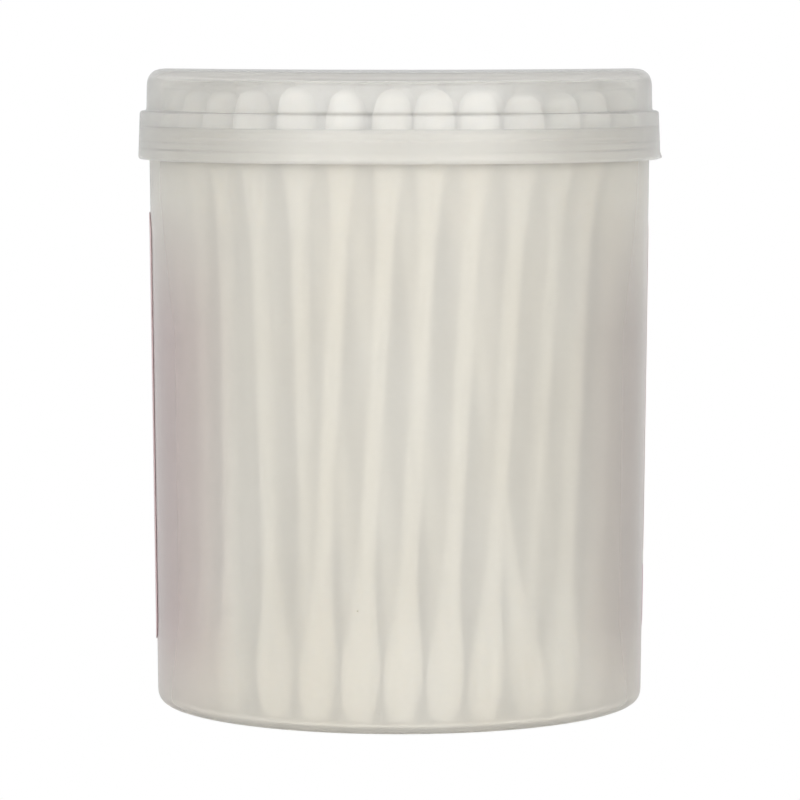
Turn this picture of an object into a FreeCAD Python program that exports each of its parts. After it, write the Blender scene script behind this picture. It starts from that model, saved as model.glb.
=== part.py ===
import FreeCAD, Part
import Sketcher
import math
import os
import random

# A round press-on-lid tub of frosted polypropylene, full of standing cotton swabs.
# The frame: millimetres, +Z up, origin at the middle of the foot on the table, -Y is the front.

# Driving sizes: name, millimetres (or degrees where the note says so), what it is
SIZES = [
    ("stick_length", 72.0, "length of a paper stick, which the tub's height is cut to"),
    ("heads_proud", 4.66, "how far the swabs stand over the rim"),
    ("head_room", 0.64, "swabs on the base panel up to the underside of the lid's panel"),
    ("rim_radius", 30.45, "outside of the wall at the rim"),
    ("wall_draft", 0.83, "radius that the wall loses from the rim down to the table"),
    ("tub_wall", 0.9, "thickness of the tub's wall"),
    ("tub_floor", 0.9, "thickness of the tub's floor"),
    ("foot_rounding", 1.6, "outer edge where the wall meets the foot"),
    ("floor_rounding", 0.8, "inner edge where the wall meets the floor"),
    ("foot_ring", 6.02, "outside of the wall in to the raised panel of the base"),
    ("panel_rise", 0.4, "how far the base panel stands off the table"),
    ("bead_drop", 0.1, "rim down to the snap bead"),
    ("bead_lead", 0.4, "slope above the bead's crest"),
    ("bead_crest", 0.6, "height of the bead's crest"),
    ("bead_back", 0.25, "slope under the bead's crest"),
    ("bead_proud", 0.2, "how far the bead stands out of the wall"),
    ("lid_panel", 1.1, "thickness of the lid's top panel"),
    ("crown_step", 0.3, "how far the crown stands out over the tub's rim"),
    ("crown_taper", 0.1, "radius that the crown loses towards its top"),
    ("crown_wall", 0.9, "thickness of the crown's wall"),
    ("crown_rounding", 2.2, "outer edge of the crown's top"),
    ("crown_hollow", 1.2, "inner edge of the crown's top"),
    ("lid_shoulder", 1.85, "height of the step that sits on the rim"),
    ("skirt_clearance", 0.05, "bead to the inside of the skirt, across the radius"),
    ("skirt_flare", 0.23, "radius that the skirt gains towards its lower edge"),
    ("skirt_wall", 0.85, "thickness of the skirt"),
    ("skirt_end", 1.2, "snap lip down to the skirt's lower edge"),
    ("skirt_rounding", 0.4, "outer edges of the skirt"),
    ("lip_gap", 0.3, "bead down to the snap lip"),
    ("lip_crest", 0.6, "height of the snap lip's crest"),
    ("lip_slope", 0.25, "slope above and below the lip's crest"),
    ("lip_clearance", 0.1, "bead to lip, across the radius"),
    ("nib_proud", 0.25, "lift nib beyond the skirt"),
    ("nib_tall", 0.9, "height of the lift nib"),
    ("nib_wide", 1.6, "width of the lift nib round the skirt"),
    ("label_low", 7.6, "table to the label's lower edge"),
    ("label_drop", 10.5, "rim down to the label's upper edge"),
    ("label_film", 0.12, "thickness of the label"),
    ("label_glue", 0.03, "adhesive between the wall and the label"),
    ("label_corner", 3.0, "rounded corners of the label"),
    ("label_from", 1.0, "degrees from +X, turning towards the back, to the label's first edge"),
    ("label_sweep", 187.0, "degrees that the label wraps round the back"),
    ("stick_radius", 1.1, "radius of a paper stick"),
    ("stick_spread", 0.6, "how much shorter the shortest stick is"),
    ("tip_cover", 1.0, "cotton beyond the end of the stick"),
    ("cotton_length", 16.5, "length of a cotton head"),
    ("cotton_radius", 2.4, "widest radius of the fullest cotton head"),
    ("cotton_step", 0.12, "radius between one fullness of head and the next"),
    ("cotton_edge", 0.12, "cotton on the stick where the head ends"),
    ("wrap_clearance", 0.04, "stick to cotton, across the radius"),
    ("stand_gap", 0.06, "floor to the swabs' tips"),
    ("swab_gap", 0.08, "least room left between two swabs, or a swab and the wall"),
    ("swab_slack", 0.21, "room that each swab takes beyond its fullest head"),
]

# The cotton head's outline from its tip: share of the widest radius, share of the head's length
HEAD_POLES = [(0.0, 0.0), (0.68, 0.0), (0.96, 0.12), (1.05, 0.38), (0.80, 0.62)]
NECK_SHARE = 0.82
WIDEST_SHARE = 0.31
HEAD_FULLNESSES = 3
OUTLINE_SAMPLES = 60

# Angles run from the front (-Y) towards +X, in seats of the ring: 360 degrees over its count.
# Where the front swabs stand off their even seats in the outer ring, chosen by eye
FOOT_NUDGES = {-4: -0.43, -3: 0.05, -2: 0.13, -1: 0.12, 0: 0.07, 1: 0.02, 2: -0.02, 3: 0.08,
               4: 0.01, 5: 0.16, 6: 0.30}
HEAD_NUDGES = {-4: -0.48, -3: -0.40, -2: -0.28, -1: -0.20, 0: -0.18, 1: -0.28, 2: -0.31, 3: -0.22,
               4: -0.20, 5: -0.22, 6: 0.15}
# Swabs that lean from one ring into another: (ring, seat) of the foot and of the head
LEANERS = [((1, -2), (0, -2)), ((1, 3), (0, 4)), ((0, 3), (1, 1))]
FRONT_HEADS = [-4, -3, -2, -1, 0, 1, 2, 3, 4, 5, 6]
FRONT_LEANER = (0, 3)
# Front swabs whose stick is cut shorter, as a share of stick_spread, by the seat of their head
SHORT_FRONT = {3: 0.9, 4: 1.0}
# How disorderly the swabs may stand: the first that settles is taken
DISORDERS = [1.0, 0.75, 0.5, 0.25, 0.0]
CHANCE_NUDGE = 0.22
SHORT_BACK = 0.4
RING_NAMES = ["outer_ring", "second_ring", "third_ring", "fourth_ring", "core"]
RING_TWISTS = [0.0, 0.0, 0.35, -0.3, 0.25, 0.0]
# Settling: levels on a head as shares of its length, levels on the bare sticks, how far apart
# neighbours are looked for (in widest radii), the share of a press that each side gives way
HEAD_LEVELS = [0.06, 0.16, 0.28, 0.42, 0.6, 0.8]
STICK_LEVELS = 6
NEIGHBOUR_REACH = 4.5
GIVE = 0.52
SETTLED = 0.01
SWEEPS = 240

doc = FreeCAD.newDocument("cotton_swab_tub")
sheet = doc.addObject("Spreadsheet::Sheet", "Sizes")
for row, (name, number, note) in enumerate(SIZES, start=1):
    sheet.set(f"A{row}", name)
    sheet.set(f"B{row}", str(number))
    sheet.set(f"C{row}", note)
    sheet.setAlias(f"B{row}", name)
doc.recompute()


def reckon(rule):
    """The number that a rule written in the sheet's names comes to."""
    return float(sheet.evalExpression(rule))


def size(name):
    """One driving size."""
    return reckon(f"Sizes.{name}")


def wall_rule(height):
    """Rule for the outside radius of the tub's drafted wall at a height."""
    return f"({FOOT_RADIUS} + Sizes.wall_draft * ({height}) / ({RIM}))"


def skirt_rule(height):
    """Rule for the outside radius of the lid's flared skirt at a height."""
    return f"({SKIRT_RADIUS} + Sizes.skirt_flare * (({SHOULDER_TOP}) - ({height})) / ({SKIRT_DEPTH}))"


# Heights and radii that several pieces share, as rules over the sheet
SWAB_LENGTH = "Sizes.stick_length + 2 * Sizes.tip_cover"
RIM = f"Sizes.tub_floor + Sizes.stand_gap + {SWAB_LENGTH} - Sizes.heads_proud"
FOOT_RADIUS = "Sizes.rim_radius - Sizes.wall_draft"
PANEL_RADIUS = f"{FOOT_RADIUS} - Sizes.foot_ring"
CROWN_RADIUS = "Sizes.rim_radius + Sizes.crown_step"
SKIRT_RADIUS = "Sizes.rim_radius + Sizes.bead_proud + Sizes.skirt_clearance + Sizes.skirt_wall"
BEAD_TOP = f"{RIM} - Sizes.bead_drop"
BEAD_HIGH = f"{BEAD_TOP} - Sizes.bead_lead"
BEAD_LOW = f"{BEAD_HIGH} - Sizes.bead_crest"
BEAD_FOOT = f"{BEAD_LOW} - Sizes.bead_back"
BEAD_RADIUS = f"{wall_rule(BEAD_LOW)} + Sizes.bead_proud"
LIP_TOP = f"{BEAD_FOOT} - Sizes.lip_gap"
LIP_HIGH = f"{LIP_TOP} - Sizes.lip_slope"
LIP_LOW = f"{LIP_HIGH} - Sizes.lip_crest"
LIP_FOOT = f"{LIP_LOW} - Sizes.lip_slope"
LIP_RADIUS = f"{BEAD_RADIUS} + Sizes.lip_clearance"
SKIRT_FOOT = f"{LIP_FOOT} - Sizes.skirt_end"
SHOULDER_TOP = f"{RIM} + Sizes.lid_shoulder"
SKIRT_DEPTH = f"({SHOULDER_TOP}) - ({SKIRT_FOOT})"
PANEL_UNDER = f"{RIM} + Sizes.heads_proud + Sizes.panel_rise + Sizes.head_room"
LID_TOP = f"{PANEL_UNDER} + Sizes.lid_panel"
FLOOR_TOP = "Sizes.tub_floor"
PANEL_FLOOR = "Sizes.tub_floor + Sizes.panel_rise"
LABEL_HIGH = f"{RIM} - Sizes.label_drop"
ON_AXIS = "0"
# Two edges nearer than this are the same edge
SAME_PLACE = 0.001
# How a sketch numbers its origin, its two axes and the ends of an edge
ORIGIN, ACROSS, UPRIGHT = -1, -1, -2
START, END = range(1, 3)


def new_sketch(body, name, plane):
    """A sketch on one of the body's own origin planes."""
    sketch = body.newObject("Sketcher::SketchObject", name)
    base = [item for item in body.Origin.OriginFeatures if item.Role == plane][0]
    sketch.AttachmentSupport = [(base, "")]
    sketch.MapMode = "FlatFace"
    return sketch


def tie(sketch, kind, index, point, rule):
    """Tie one coordinate of a point in the sketch, or a radius, to the sheet's sizes."""
    if kind == "Radius":
        bond = Sketcher.Constraint(kind, index, reckon(rule))
    elif rule == ON_AXIS:
        bond = Sketcher.Constraint("PointOnObject", index, point, ACROSS if kind == "DistanceY" else UPRIGHT)
    else:
        bond = Sketcher.Constraint(kind, ORIGIN, START, index, point, reckon(rule))
    number = sketch.addConstraint(bond)
    if rule != ON_AXIS:
        sketch.setExpression(f"Constraints[{number}]", rule)


def draw_outline(sketch, corners):
    """Close straight edges through the corners, and tie each corner to the sheet's sizes."""
    points = [FreeCAD.Vector(reckon(across), reckon(up), 0) for across, up in corners]
    count = len(points)
    for index in range(count):
        sketch.addGeometry(Part.LineSegment(points[index], points[(index + 1) % count]))
    for index in range(count):
        sketch.addConstraint(Sketcher.Constraint("Coincident", index, END, (index + 1) % count, START))
    for index, (across, up) in enumerate(corners):
        tie(sketch, "DistanceX", index, START, across)
        tie(sketch, "DistanceY", index, START, up)


def draw_corner(sketch, edge, up, step):
    """The waste outside one rounded corner of the label: step is 1 at its upper edge, -1 at its lower."""
    past = "Sizes.label_corner"
    inner = f"{edge} + Sizes.label_corner"
    outer = f"{edge} - {past}"
    beyond = f"{up} + {step} * {past}"
    down = f"{up} - {step} * Sizes.label_corner"
    corners = [(outer, beyond), (inner, beyond), (inner, up), (edge, down), (outer, down)]
    points = [FreeCAD.Vector(reckon(across), reckon(high), 0) for across, high in corners]
    centre = FreeCAD.Vector(reckon(inner), reckon(down), 0)
    first = sketch.GeometryCount
    count = len(points)
    for index in range(count):
        start, end = points[index], points[(index + 1) % count]
        if index == 2:
            half = math.pi / 2
            turn_from = half if step > 0 else math.pi
            arc = Part.Circle(centre, FreeCAD.Vector(0, 0, 1), size("label_corner"))
            sketch.addGeometry(Part.ArcOfCircle(arc, turn_from, turn_from + half))
        else:
            sketch.addGeometry(Part.LineSegment(start, end))
    arc_start, arc_end = (START, END) if step > 0 else (END, START)
    joins = [(0, END, 1, START), (1, END, 2, arc_start), (2, arc_end, 3, START), (3, END, 4, START),
             (4, END, 0, START)]
    for one, one_end, other, other_end in joins:
        bond = Sketcher.Constraint("Coincident", first + one, one_end, first + other, other_end)
        sketch.addConstraint(bond)
    for index, (across, high) in enumerate(corners):
        point = arc_start if index == 2 else START
        tie(sketch, "DistanceX", first + index, point, across)
        tie(sketch, "DistanceY", first + index, point, high)
    tie(sketch, "Radius", first + 2, None, "Sizes.label_corner")


def turn(body, sketch, name, sweep="360"):
    """Turn the sketch's outline round the Z axis."""
    turned = body.newObject("PartDesign::Revolution", name)
    turned.Profile = sketch
    turned.ReferenceAxis = (sketch, ["V_Axis"])
    turned.setExpression("Angle", sweep)
    doc.recompute()
    return turned


def edges_at(shape, radius, height):
    """Names of the shape's round edges of this radius at this height."""
    found = []
    for number, edge in enumerate(shape.Edges, start=1):
        curve = edge.Curve
        if isinstance(curve, Part.Circle):
            if max(abs(curve.Radius - radius), abs(curve.Center.z - height)) < SAME_PLACE:
                found.append(f"Edge{number}")
    return found


def round_off(body, base, name, radius_name, rings):
    """Round the edges that lie at each (radius rule, height rule)."""
    names = []
    for across, up in rings:
        names += edges_at(base.Shape, reckon(across), reckon(up))
    rounded = body.newObject("PartDesign::Fillet", name)
    rounded.Base = (base, names)
    rounded.setExpression("Radius", f"Sizes.{radius_name}")
    doc.recompute()
    return rounded


def make_tub():
    """The tub: a drafted cup with a raised base panel and a snap bead under its rim."""
    body = doc.addObject("PartDesign::Body", "tub")
    inside_rim = "Sizes.rim_radius - Sizes.tub_wall"
    inside_floor = f"{wall_rule(FLOOR_TOP)} - Sizes.tub_wall"
    profile = new_sketch(body, "tub_profile", "XZ_Plane")
    draw_outline(profile, [
        (ON_AXIS, "Sizes.panel_rise"),
        (PANEL_RADIUS, "Sizes.panel_rise"),
        (f"{PANEL_RADIUS} + Sizes.panel_rise", ON_AXIS),
        (FOOT_RADIUS, ON_AXIS),
        (wall_rule(BEAD_FOOT), BEAD_FOOT),
        (BEAD_RADIUS, BEAD_LOW),
        (BEAD_RADIUS, BEAD_HIGH),
        (wall_rule(BEAD_TOP), BEAD_TOP),
        ("Sizes.rim_radius", RIM),
        (inside_rim, RIM),
        (inside_floor, FLOOR_TOP),
        (f"{PANEL_RADIUS} + Sizes.panel_rise", FLOOR_TOP),
        (PANEL_RADIUS, PANEL_FLOOR),
        (ON_AXIS, PANEL_FLOOR),
    ])
    cup = turn(body, profile, "tub_cup")
    foot = round_off(body, cup, "tub_foot_edge", "foot_rounding", [(FOOT_RADIUS, ON_AXIS)])
    round_off(body, foot, "tub_floor_edge", "floor_rounding", [(inside_floor, FLOOR_TOP)])
    return body


def make_lid():
    """The lid: a raised crown, a shoulder that sits on the rim and a skirt that snaps over the bead."""
    body = doc.addObject("PartDesign::Body", "lid")
    crown_top = f"{CROWN_RADIUS} - Sizes.crown_taper"
    crown_inside = f"{CROWN_RADIUS} - Sizes.crown_wall"
    hollow_top = f"{crown_top} - Sizes.crown_wall"
    skirt_foot = skirt_rule(SKIRT_FOOT)
    profile = new_sketch(body, "lid_profile", "XZ_Plane")
    draw_outline(profile, [
        (ON_AXIS, LID_TOP),
        (crown_top, LID_TOP),
        (CROWN_RADIUS, SHOULDER_TOP),
        (SKIRT_RADIUS, SHOULDER_TOP),
        (skirt_foot, SKIRT_FOOT),
        (f"{skirt_foot} - Sizes.skirt_wall", SKIRT_FOOT),
        (f"{skirt_rule(LIP_FOOT)} - Sizes.skirt_wall", LIP_FOOT),
        (LIP_RADIUS, LIP_LOW),
        (LIP_RADIUS, LIP_HIGH),
        (f"{skirt_rule(LIP_TOP)} - Sizes.skirt_wall", LIP_TOP),
        (f"{skirt_rule(RIM)} - Sizes.skirt_wall", RIM),
        (crown_inside, RIM),
        (hollow_top, PANEL_UNDER),
        (ON_AXIS, PANEL_UNDER),
    ])
    cap = turn(body, profile, "lid_cap")
    crown = round_off(body, cap, "crown_edge", "crown_rounding", [(crown_top, LID_TOP)])
    hollow = round_off(body, crown, "crown_hollow_edge", "crown_hollow", [(hollow_top, PANEL_UNDER)])
    round_off(body, hollow, "skirt_edges", "skirt_rounding",
              [(SKIRT_RADIUS, SHOULDER_TOP), (skirt_foot, SKIRT_FOOT)])
    add_nib(body, skirt_foot)
    return body


def add_nib(body, skirt_foot):
    """The little sharp nib on the skirt's lower edge, at +X, where a nail lifts the lid."""
    outline = new_sketch(body, "nib_outline", "XZ_Plane")
    root = f"{skirt_foot} - Sizes.skirt_wall / 2"
    draw_outline(outline, [
        (root, f"{SKIRT_FOOT} + Sizes.skirt_rounding / 4"),
        (f"{skirt_foot} + Sizes.nib_proud", f"{SKIRT_FOOT} + Sizes.skirt_rounding / 2"),
        (root, f"{SKIRT_FOOT} + Sizes.nib_tall"),
    ])
    nib = body.newObject("PartDesign::Pad", "lift_nib")
    nib.Profile = outline
    nib.SideType = "Symmetric"
    nib.setExpression("Length", "Sizes.nib_wide")
    doc.recompute()


def make_label():
    """The film label: a thin band on the wall, wrapped round the back, with rounded corners."""
    body = doc.addObject("PartDesign::Body", "label")
    profile = new_sketch(body, "label_profile", "XZ_Plane")
    low, high = "Sizes.label_low", LABEL_HIGH
    corners = []
    for up, clear in ((low, ""), (low, " + Sizes.label_film"), (high, " + Sizes.label_film"), (high, "")):
        corners.append((f"{wall_rule(up)} + Sizes.label_glue{clear}", up))
    draw_outline(profile, corners)
    band = turn(body, profile, "label_band", "Sizes.label_sweep")
    for name, far_end in (("first_corners", False), ("last_corners", True)):
        outline = new_sketch(body, f"{name}_outline", "YZ_Plane")
        for up, step in ((high, 1), (low, -1)):
            edge = f"{wall_rule(up)} * sin(Sizes.label_sweep * 1 deg)" if far_end else "0"
            draw_corner(outline, edge, up, step)
        cut = body.newObject("PartDesign::Pocket", name)
        cut.Profile = outline
        cut.Type = "ThroughAll"
        cut.Reversed = not far_end
        doc.recompute()
        if cut.Shape.Volume >= band.Shape.Volume:
            raise RuntimeError(f"{name} cut nothing")
    body.setExpression("Placement.Rotation.Angle", "Sizes.label_from")
    doc.recompute()
    return body


def head_radius(fullness):
    """Widest radius of a cotton head: fullness 0 is the fullest."""
    return size("cotton_radius") - fullness * size("cotton_step")


def head_curve(widest):
    """The head's outline, from the middle of its tip up to its neck on the stick."""
    length = size("cotton_length")
    neck = size("stick_radius") + size("wrap_clearance") + size("cotton_edge")
    poles = [FreeCAD.Vector(share * widest, 0, up * length) for share, up in HEAD_POLES]
    poles.append(FreeCAD.Vector(neck, 0, NECK_SHARE * length))
    poles.append(FreeCAD.Vector(neck, 0, length))
    curve = Part.BSplineCurve()
    curve.buildFromPoles(poles, False, 3)
    return curve


def head_shape(widest):
    """A cotton head with its tip at the origin, wound round the end of a stick along +Z."""
    curve = head_curve(widest)
    length = size("cotton_length")
    bore = size("stick_radius") + size("wrap_clearance")
    cover = size("tip_cover")
    neck = curve.value(curve.LastParameter)
    corners = [neck, FreeCAD.Vector(bore, 0, length), FreeCAD.Vector(bore, 0, cover),
               FreeCAD.Vector(0, 0, cover), FreeCAD.Vector(0, 0, 0)]
    edges = [curve.toShape()]
    for start, end in zip(corners, corners[1:]):
        edges.append(Part.LineSegment(start, end).toShape())
    face = Part.Face(Part.Wire(edges))
    return face.revolve(FreeCAD.Vector(0, 0, 0), FreeCAD.Vector(0, 0, 1), 360)


class Swab:
    """One swab: where its foot and its head stand, how full its ends are and how short its stick is."""

    def __init__(self, foot, head, seats):
        self.foot = list(foot)
        self.head = list(head)
        self.foot_seat, self.head_seat = seats
        self.fullness = (0, 0)
        self.shorter = 0.0

    def point(self, share):
        """The axis seen from above: share 0 is at the foot's widest level, 1 at the head's."""
        return [a + (b - a) * share for a, b in zip(self.foot, self.head)]

    def push(self, share, across, along):
        """Move the axis at one level, by turning and shifting it as little as possible."""
        weight = (1 - share) ** 2 + share ** 2
        for end, part in ((self.foot, 1 - share), (self.head, share)):
            end[0] += across * part / weight
            end[1] += along * part / weight


def ring_radii():
    """Radii of the rings of swabs at the foot, from the wall inwards, the last one the middle swab."""
    pitch = 2 * size("cotton_radius") + size("swab_slack")
    inside = reckon(f"{wall_rule(f'{FLOOR_TOP} + {WIDEST_SHARE} * Sizes.cotton_length')} - Sizes.tub_wall")
    radius = inside - size("cotton_radius") - size("swab_gap")
    radii = []
    while radius > pitch / 2:
        radii.append(radius)
        radius -= pitch
    return radii + [0.0]


def ring_count(radius):
    """How many swabs stand in a ring."""
    pitch = 2 * size("cotton_radius") + size("swab_slack")
    if radius < pitch / 2:
        return 1
    return int(math.pi / math.asin(pitch / 2 / radius))


def seat_place(ring, seat, nudge, radii, lean):
    """Where a seat of a ring is, seen from above."""
    radius = radii[ring] + lean if radii[ring] > 0 else 0.0
    angle = 2 * math.pi * (seat + nudge) / ring_count(radii[ring])
    return radius * math.sin(angle), -radius * math.cos(angle)


def fill_tub(disorder):
    """All the swabs as they are put in, before they settle."""
    chance = random.Random(11)
    radii = ring_radii()
    lean_out = size("wall_draft")
    leaners = LEANERS + [((0, ring_count(radii[0]) // 2), (1, ring_count(radii[1]) // 2))]
    leaners = leaners if disorder > 0 else []
    swabs = []
    for ring, radius in enumerate(radii):
        count = ring_count(radius)
        first = -((count - 1) // 2)
        seats = list(range(first, first + count))
        feet = [seat for seat in seats if (ring, seat) not in [pair[0] for pair in leaners]]
        heads = [seat for seat in seats if (ring, seat) not in [pair[1] for pair in leaners]]
        for foot, head in zip(feet, heads):
            swabs.append(put_in((ring, foot), (ring, head), radii, lean_out, disorder, chance))
    for foot, head in leaners:
        swabs.append(put_in(foot, head, radii, lean_out, disorder, chance))
    return swabs


def put_in(foot, head, radii, lean_out, disorder, chance):
    """One swab between its foot's seat and its head's seat, a little off both."""
    nudges = []
    for (ring, seat), chosen in ((foot, FOOT_NUDGES), (head, HEAD_NUDGES)):
        by_chance = chance.uniform(-CHANCE_NUDGE, CHANCE_NUDGE)
        by_eye = chosen.get(seat) if ring == 0 else None
        nudges.append(disorder * (by_chance if by_eye is None else by_eye))
    twist = disorder * RING_TWISTS[min(head[0], len(RING_TWISTS) - 1)]
    low = seat_place(foot[0], foot[1], nudges[0], radii, 0.0)
    high = seat_place(head[0], head[1], nudges[1] + twist, radii, lean_out)
    swab = Swab(low, high, (foot, head))
    swab.fullness = (chance.randrange(HEAD_FULLNESSES), chance.randrange(HEAD_FULLNESSES))
    by_chance = chance.random()
    by_eye = SHORT_FRONT.get(head[1], SHORT_BACK * by_chance)
    swab.shorter = round(by_eye if head[0] == 0 else by_chance, 2)
    return swab


def floor_under(swab):
    """Height of the floor where the swab's foot stands."""
    on_panel = math.hypot(*swab.foot) < reckon(PANEL_RADIUS)
    return reckon(PANEL_FLOOR if on_panel else FLOOR_TOP)


def thickness_table(swab, levels, outlines):
    """For each level: how far along the axis it is, and the swab's radius there (0 where it isn't)."""
    widest = size("cotton_length") * WIDEST_SHARE
    tip = floor_under(swab) + size("stand_gap")
    length = reckon(SWAB_LENGTH) - swab.shorter * size("stick_spread")
    table = []
    for level in levels:
        share = (level - tip - widest) / (length - 2 * widest)
        from_foot = level - tip
        from_head = tip + length - level
        near, fullness = (from_foot, swab.fullness[0])
        if from_head < from_foot:
            near, fullness = (from_head, swab.fullness[1])
        radius = 0.0
        if near >= 0:
            radius = size("stick_radius")
            for up, across in outlines[fullness]:
                if up >= near:
                    radius = across
                    break
        table.append((share, radius))
    return table


def head_outlines():
    """For each fullness of head: (distance from the tip, radius) along its outline."""
    outlines = []
    for fullness in range(HEAD_FULLNESSES):
        curve = head_curve(head_radius(fullness))
        step = curve.LastParameter / OUTLINE_SAMPLES
        samples = [curve.value(step * number) for number in range(OUTLINE_SAMPLES + 1)]
        outlines.append([(sample.z, sample.x) for sample in samples])
    return outlines


def settle_levels():
    """Heights at which the swabs are kept apart."""
    full = reckon(SWAB_LENGTH)
    head = size("cotton_length")
    levels = [head * share for share in HEAD_LEVELS]
    levels += [head + (full - 2 * head) * step / STICK_LEVELS for step in range(STICK_LEVELS + 1)]
    levels += [full - head * share + size("tub_floor") for share in reversed(HEAD_LEVELS)]
    return levels


def neighbours(swabs):
    """Pairs of swabs that stand near each other at the foot, half way up or at the head."""
    reach = NEIGHBOUR_REACH * size("cotton_radius")
    pairs = []
    for first, one in enumerate(swabs):
        for second in range(first + 1, len(swabs)):
            other = swabs[second]
            if any(math.dist(one.point(share), other.point(share)) < reach for share in (0.0, 0.5, 1.0)):
                pairs.append((first, second))
    return pairs


def ease_apart(one, other, table, other_table, gap):
    """Push two swabs apart at each level where they come too near. Returns the worst press."""
    worst = 0.0
    for (share, radius), (other_share, other_radius) in zip(table, other_table):
        if radius == 0 or other_radius == 0:
            continue
        here, there = one.point(share), other.point(other_share)
        apart = math.dist(here, there)
        short = radius + other_radius + gap - apart
        if short > 0 and apart > 0:
            worst = max(worst, short)
            across = (here[0] - there[0]) / apart * short * GIVE
            along = (here[1] - there[1]) / apart * short * GIVE
            one.push(share, across, along)
            other.push(other_share, -across, -along)
    return worst


def ease_inwards(swab, table, walls, gap):
    """Push a swab in at each level where it comes too near the wall. Returns the worst press."""
    worst = 0.0
    for (share, radius), wall in zip(table, walls):
        place = swab.point(share)
        out = math.hypot(*place)
        over = out + radius + gap - wall
        if radius > 0 and over > 0:
            worst = max(worst, over)
            swab.push(share, -place[0] / out * over, -place[1] / out * over)
    return worst


def settle(swabs):
    """Ease the swabs apart until none presses into another or into the wall. Returns what is left over."""
    gap = size("swab_gap")
    levels = settle_levels()
    outlines = head_outlines()
    tables = [thickness_table(swab, levels, outlines) for swab in swabs]
    walls = [reckon(f"{wall_rule(level)} - Sizes.tub_wall") for level in levels]
    pairs = neighbours(swabs)
    worst = 0.0
    for sweep in range(SWEEPS):
        presses = [ease_apart(swabs[a], swabs[b], tables[a], tables[b], gap) for a, b in pairs]
        presses += [ease_inwards(swab, table, walls, gap) for swab, table in zip(swabs, tables)]
        worst = max(presses)
        if worst < SETTLED:
            break
    return worst


def settled_swabs():
    """The swabs as they stand in the tub, as disorderly as there is room for."""
    for disorder in DISORDERS:
        swabs = fill_tub(disorder)
        left_over = settle(swabs)
        if left_over < size("swab_gap") / 2:
            break
    print(f"{len(swabs)} swabs, disorder {disorder}, pressed {left_over:.3f} mm into their gaps")
    return swabs


def swab_axis(swab):
    """The swab's lower tip and the direction of its axis."""
    widest = size("cotton_length") * WIDEST_SHARE
    tip = floor_under(swab) + size("stand_gap")
    length = reckon(SWAB_LENGTH) - swab.shorter * size("stick_spread")
    sideways = math.hypot(swab.head[0] - swab.foot[0], swab.head[1] - swab.foot[1])
    rise = math.sqrt((length - 2 * widest) ** 2 - sideways ** 2)
    low = FreeCAD.Vector(swab.foot[0], swab.foot[1], tip + widest)
    high = FreeCAD.Vector(swab.head[0], swab.head[1], tip + widest + rise)
    axis = (high - low).normalize()
    return low - axis * widest, axis, length


def place_stick(swab, label):
    """One paper stick, a cylinder along its swab's axis."""
    tip, axis, length = swab_axis(swab)
    stick = doc.addObject("Part::Cylinder", label)
    stick.setExpression("Radius", "Sizes.stick_radius")
    stick.setExpression("Height", f"Sizes.stick_length - {swab.shorter} * Sizes.stick_spread")
    turned = FreeCAD.Rotation(FreeCAD.Vector(0, 0, 1), axis)
    stick.Placement = FreeCAD.Placement(tip + axis * size("tip_cover"), turned)
    return stick


def place_head(swab, label, masters, at_top):
    """One cotton head, a copy of the master of its fullness, on the stick's lower or upper end."""
    tip, axis, length = swab_axis(swab)
    if at_top:
        tip = tip + axis * length
        axis = axis * -1
    head = doc.addObject("Part::Feature", label)
    head.Shape = masters[swab.fullness[1 if at_top else 0]].Shape.copy()
    head.Placement = FreeCAD.Placement(tip, FreeCAD.Rotation(FreeCAD.Vector(0, 0, 1), axis))
    return head


def place_swab(swab, label, masters):
    """The three pieces of one swab."""
    return {
        "stick": place_stick(swab, f"{label}_stick"),
        "top_head": place_head(swab, f"{label}_top_head", masters, True),
        "bottom_head": place_head(swab, f"{label}_bottom_head", masters, False),
    }


def gather(label, pieces):
    """One group of separate solids."""
    group = doc.addObject("Part::Compound", label)
    group.Links = pieces
    return group


def make_swabs():
    """The front swabs one by one, and the rest joined ring by ring."""
    masters = []
    for fullness in range(HEAD_FULLNESSES):
        master = doc.addObject("Part::Feature", f"cotton_master_{fullness + 1}")
        master.Shape = head_shape(head_radius(fullness))
        masters.append(master)
    front, rest = [], {name: [] for name in RING_NAMES}
    for swab in settled_swabs():
        leans_out = swab.head_seat[0] == 0 and swab.head_seat[1] in FRONT_HEADS
        if leans_out or swab.foot_seat == FRONT_LEANER:
            front.append(swab)
        else:
            rest[RING_NAMES[min(swab.foot_seat[0], len(RING_NAMES) - 1)]].append(swab)
    front.sort(key=lambda swab: math.atan2(swab.head[0], -swab.head[1]))
    nodes = []
    for number, swab in enumerate(front, start=1):
        nodes += place_swab(swab, f"front_swab_{number:02d}", masters).values()
    for name, members in rest.items():
        if not members:
            continue
        placed = []
        for number, swab in enumerate(members, start=1):
            placed.append(place_swab(swab, f"{name}_{number:02d}", masters))
        for piece in ("stick", "top_head", "bottom_head"):
            nodes.append(gather(f"{name}_{piece}s", [parts[piece] for parts in placed]))
    return nodes


def check(nodes):
    """Stop if any object failed or any piece isn't a sound solid."""
    for item in doc.Objects:
        if "Invalid" in item.State or "Error" in item.State:
            raise RuntimeError(f"{item.Label} failed: {item.State}")
    for node in nodes:
        if node.Shape.isNull() or not node.Shape.isValid() or not node.Shape.Solids:
            raise RuntimeError(f"{node.Label} is not a sound solid")


nodes = [make_tub(), make_lid(), make_label()] + make_swabs()
doc.recompute()
check(nodes)
os.makedirs("parts", exist_ok=True)
for node in nodes:
    node.Shape.exportStep(f"parts/{node.Label}.step")
    box = node.Shape.BoundBox
    print(f"{node.Label}: {len(node.Shape.Solids)} solids, {node.Shape.Volume:.1f} mm3, "
          f"z {box.ZMin:.2f} to {box.ZMax:.2f}")
print(f"{len(nodes)} nodes")
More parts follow.
